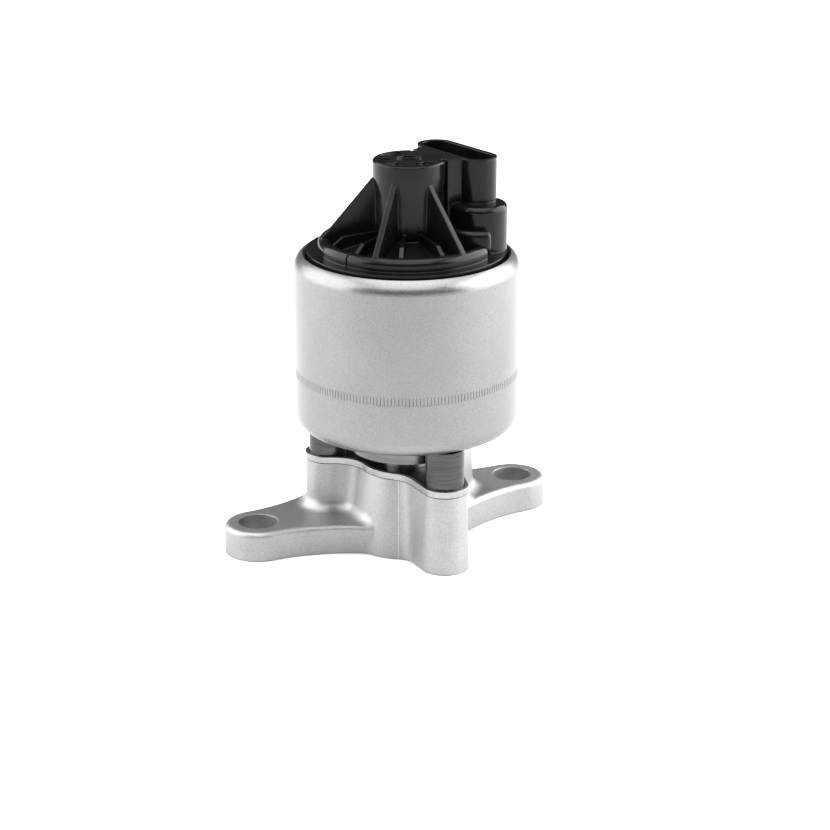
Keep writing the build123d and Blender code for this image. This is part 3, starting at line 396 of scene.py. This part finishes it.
FINISHES = {"cast_aluminium": cast_metal(), "drawn_steel": drawn_metal("drawn_steel")}
FINISHES.update({slot: plain_metal(slot, *row) for slot, row in METALS.items()})
FINISHES.update({slot: moulded_plastic(slot, *row) for slot, row in PLASTICS.items()})

OWN_FINISH = {"cover_plate": tray_metal(), "seal_cup": plain_metal("cup_steel", *CUP_STEEL)}

for part in frame["record"]["subparts"]:
    node = frame["nodes"][part["node"]]
    node.data.materials.clear()
    finish = OWN_FINISH.get(part["node"], FINISHES[part["material_slot"]])
    node.data.materials.append(finish)


# -------------------------------------------------------------------- new pieces
def new_piece(name, points, faces, flat_faces, finish, body):
    """Object at the origin from points and faces, the last few of them flat-shaded."""
    mesh = bpy.data.meshes.new(name)
    mesh.from_pydata(points.reshape(-1, 3).tolist(), [], faces)
    smooth = np.ones(len(faces), dtype=bool)
    smooth[len(faces) - flat_faces:] = False
    mesh.polygons.foreach_set("use_smooth", smooth)
    mesh.materials.append(finish)
    mesh.update()
    piece = bpy.data.objects.new(name, mesh)
    bpy.context.scene.collection.objects.link(piece)
    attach(piece, body)
    return piece


def grid_mesh(name, points, finish, body):
    """Closed surface from a (rows, columns, 3) array that wraps in both directions."""
    rows, columns = points.shape[:2]
    i, j = np.meshgrid(np.arange(rows), np.arange(columns), indexing="ij")
    down, right = (i + 1) % rows, (j + 1) % columns
    faces = np.stack([i * columns + j, down * columns + j, down * columns + right,
                      i * columns + right], axis=-1).reshape(-1, 4)
    return new_piece(name, points, faces.tolist(), 0, finish, body)


def swept_mesh(name, rings, finish, body):
    """Closed surface from (rows, columns, 3) rings along a path, with a cap at each end."""
    rows, columns = rings.shape[:2]
    i, j = np.meshgrid(np.arange(rows - 1), np.arange(columns), indexing="ij")
    right = (j + 1) % columns
    sides = np.stack([i * columns + j, i * columns + right, (i + 1) * columns + right,
                      (i + 1) * columns + j], axis=-1).reshape(-1, 4)
    last = (rows - 1) * columns
    caps = [list(range(columns))[::-1], list(range(last, last + columns))]
    return new_piece(name, rings, sides.tolist() + caps, 2, finish, body)


def ridge_crest(name, side):
    """Raised rounded crest on the ridge around the connector's pedestal.

    The path, in the cap's own plan, runs straight at u = RIDGE_U and then around
    the pedestal's end by angle a: (END_U + END_R cos a, -END_V + END_R sin a). Each
    ring is a wall of half width w under a half round top. Over the last steps,
    by angle b, w shrinks as cos b while the path runs on by w sin b, which
    rounds the end. The side is -1 for the front and 1 for its mirror image.
    """
    half = CREST_HALF_WIDTH
    straight = np.stack([np.full(6, RIDGE_U), np.linspace(-RIDGE_V, -END_V, 6)], axis=-1)
    a = np.radians(np.linspace(184, 240, 26))
    around = np.stack([END_U + END_R * np.cos(a), -END_V + END_R * np.sin(a)], axis=-1)
    path = np.vstack([straight, around])
    heading = np.gradient(path, axis=0)
    heading /= np.linalg.norm(heading, axis=1)[:, None]
    b = np.radians(np.linspace(0, 86, 9))[1:]
    path = np.vstack([path, path[-1] + heading[-1] * half * np.sin(b)[:, None]])
    heading = np.vstack([heading, np.repeat(heading[-1:], len(b), axis=0)])
    width = np.concatenate([np.full(len(path) - len(b), half), half * np.cos(b)])
    across = np.stack([heading[:, 1], -heading[:, 0]], axis=-1)
    c = np.linspace(0, pi, 13)
    out = np.concatenate([[1, 1], np.cos(c), [-1, -1]])
    rise = np.concatenate([[0, 0.5], np.ones(13), [0.5, 0]])
    swell = np.concatenate([[0, 0], np.sin(c), [0, 0]])
    plan = path[:, None, :] + across[:, None, :] * (width[:, None] * out)[..., None]
    wall = CREST_TOP_Z - half - CREST_FOOT_Z
    z = CREST_FOOT_Z + wall * rise[None, :] + width[:, None] * swell[None, :]
    u, v = plan[..., 0], side * -plan[..., 1]
    rings = np.stack([u * cos(CAP_TURN) - v * sin(CAP_TURN),
                      u * sin(CAP_TURN) + v * cos(CAP_TURN), z], axis=-1) * MM
    if side < 0:
        rings = rings[:, ::-1]
    return swept_mesh(name, rings, FINISHES["black_plastic"], "valve_body")


def serration_band():
    """Rolled band of upright strokes in the can's groove.

    Around the axis by angle a, the outer face lies STROKE_DEPTH times 1 - t(a) in
    from the can's, where t is |cos(a BAND_TEETH / 2)| to a low power, which makes
    BAND_TEETH narrow valleys. They fade out at a height that varies a little
    around the can. The inner face is a plain cylinder.
    """
    steps = BAND_TEETH * 10
    angle = np.linspace(0, 2 * pi, steps, endpoint=False)
    tooth = np.abs(np.cos(angle * BAND_TEETH / 2)) ** 0.35
    length = 0.96 + 0.05 * np.sin(angle * 7 + 1.3) * np.sin(angle * 23)
    height = np.concatenate([[-1, -0.985], np.linspace(-0.94, 0.94, 9), [0.985, 1]])
    fade = np.clip((length[None, :] - np.abs(height[:, None])) / 0.12, 0, 1)
    depth = (1 - tooth)[None, :] * fade * STROKE_DEPTH
    outer = CAN_R - STROKE_SINK - depth
    inner = np.full((2, steps), CAN_R - BAND_WALL)
    radius = np.vstack([outer, inner])
    z = np.concatenate([height, [1, -1]]) * (BAND_H / 2 - BAND_FIT) + BAND_Z
    points = np.stack([radius * np.cos(angle), radius * np.sin(angle),
                       np.repeat(z[:, None], steps, axis=1)], axis=-1)
    # the strokes' finish paints shade into their valleys
    finish = drawn_metal("serrated_steel", strokes=True)
    return grid_mesh("serration_band", points[::-1], finish, "valve_body")


def coil_spring(name, node, radius, wire, turns):
    """Compression spring with closed end turns.

    The centre line is (r cos t, r sin t, z), where z goes from seat to seat by the
    smooth step 3 s^2 - 2 s^3 of the share s of the line. Each ring is a circle of
    the wire's radius, across the line.
    """
    low, high = (corner[2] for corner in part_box(node))
    bottom, top = low + SPRING_SEAT_GAP + wire, high - SPRING_SEAT_GAP - wire
    t = np.linspace(0, 2 * pi * turns, turns * 36 + 1)
    share = t / t[-1]
    line = np.stack([radius * np.cos(t), radius * np.sin(t),
                     bottom + (top - bottom) * (3 * share ** 2 - 2 * share ** 3)], axis=-1)
    along = np.gradient(line, axis=0)
    along /= np.linalg.norm(along, axis=1)[:, None]
    inward = np.stack([-np.cos(t), -np.sin(t), np.zeros_like(t)], axis=-1)
    across = np.cross(along, inward)
    c = np.linspace(0, 2 * pi, 12, endpoint=False)
    rings = line[:, None] + wire * (np.cos(c)[None, :, None] * inward[:, None]
                                    + np.sin(c)[None, :, None] * across[:, None])
    spring = swept_mesh(name, rings, FINISHES["dark_steel"], "valve_body")
    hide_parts(node)
    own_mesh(spring)
    return spring


# Radius, wire radius and turns are those of the CAD springs.
coil_spring("return_spring_coil", "return_spring", 4.2 * MM, 0.45 * MM, 5)
coil_spring("sensor_spring_coil", "sensor_spring", 1.8 * MM, 0.25 * MM, 6)
serration_band()
ridge_crest("ridge_crest_front", -1)
ridge_crest("ridge_crest_back", 1)


# ------------------------------------------------------------- floor and studio
FLOOR_DROP = 0.1 * MM
FLOOR_REACH = 3.0
AZIMUTH = -27.4
VIEW_RISE = 18.07
VIEW_PITCH = 19.5
VIEW_YAW = 0.19
VIEW_DISTANCE = 0.640
TARGET = (0.0, 0.0, 0.0498)
FOCAL_PIXELS = 2600.0
FRAME_PIXELS = 830.0
WORLD_LIGHT = 0.07


def stage_floor():
    """Plain pale floor, a hair under the part so that the two faces don't flicker."""
    points = [(x, y, -FLOOR_DROP) for x in (-FLOOR_REACH, FLOOR_REACH)
              for y in (-FLOOR_REACH, FLOOR_REACH)]
    mesh = bpy.data.meshes.new("floor")
    mesh.from_pydata(points, [], [(0, 2, 3, 1)])
    floor = bpy.data.objects.new("floor", mesh)
    bpy.context.scene.collection.objects.link(floor)
    material, tree, shader, place = new_material("floor_paper", Roughness=0.9)
    noise = add(tree, "ShaderNodeTexNoise", (-800, 0), Scale=400.0)
    tree.links.new(place, noise.inputs["Vector"])
    colour = tone_ramp(tree, noise.outputs["Fac"], (0.85, 0.85, 0.85), (0.87, 0.87, 0.87),
                       (-500, 0))
    tree.links.new(colour, shader.inputs["Base Color"])
    mesh.materials.append(material)


def light(name, position, target, size, power):
    """Soft rectangular lamp that faces a target."""
    lamp = bpy.data.lights.new(name, "AREA")
    lamp.shape = "RECTANGLE"
    lamp.size, lamp.size_y = size
    lamp.energy = power
    thing = bpy.data.objects.new(name, lamp)
    bpy.context.scene.collection.objects.link(thing)
    thing.location = position
    aim = Vector(target) - Vector(position)
    thing.rotation_euler = aim.to_track_quat("-Z", "Y").to_euler()


def from_view(side, rise, distance):
    """Point at an angle to the side of the view and a rise over the floor."""
    angle = radians(AZIMUTH + side)
    return (distance * sin(angle) * cos(radians(rise)),
            -distance * cos(angle) * cos(radians(rise)),
            distance * sin(radians(rise)) + TARGET[2])


def camera():
    """Camera aimed at the part, from the front left and a little above."""
    lens = bpy.data.cameras.new("camera")
    lens.lens = FOCAL_PIXELS / FRAME_PIXELS * lens.sensor_width
    lens.clip_start = 0.01
    thing = bpy.data.objects.new("camera", lens)
    bpy.context.scene.collection.objects.link(thing)
    thing.location = from_view(0, VIEW_RISE, VIEW_DISTANCE)
    thing.rotation_euler = (radians(90 - VIEW_PITCH), 0, radians(AZIMUTH - VIEW_YAW))
    bpy.context.scene.camera = thing


stage_floor()
light("left_softbox", from_view(-94, 24, 0.8), TARGET, (1.2, 0.9), 16.0)
light("right_softbox", from_view(99, 24, 0.8), TARGET, (1.2, 0.9), 22.0)
light("top_softbox", from_view(0, 71, 0.9), TARGET, (0.95, 1.2), 14.0)
light("floor_softbox", from_view(180, 76, 1.7), from_view(180, -3, 1.1), (2.8, 1.2), 13.0)
camera()

world = bpy.data.worlds.new("studio")
world.use_nodes = True
background = world.node_tree.nodes["Background"]
background.inputs["Color"].default_value = (1, 1, 1, 1)
background.inputs["Strength"].default_value = WORLD_LIGHT
bpy.context.scene.world = world
bpy.context.scene.view_settings.view_transform = "Standard"
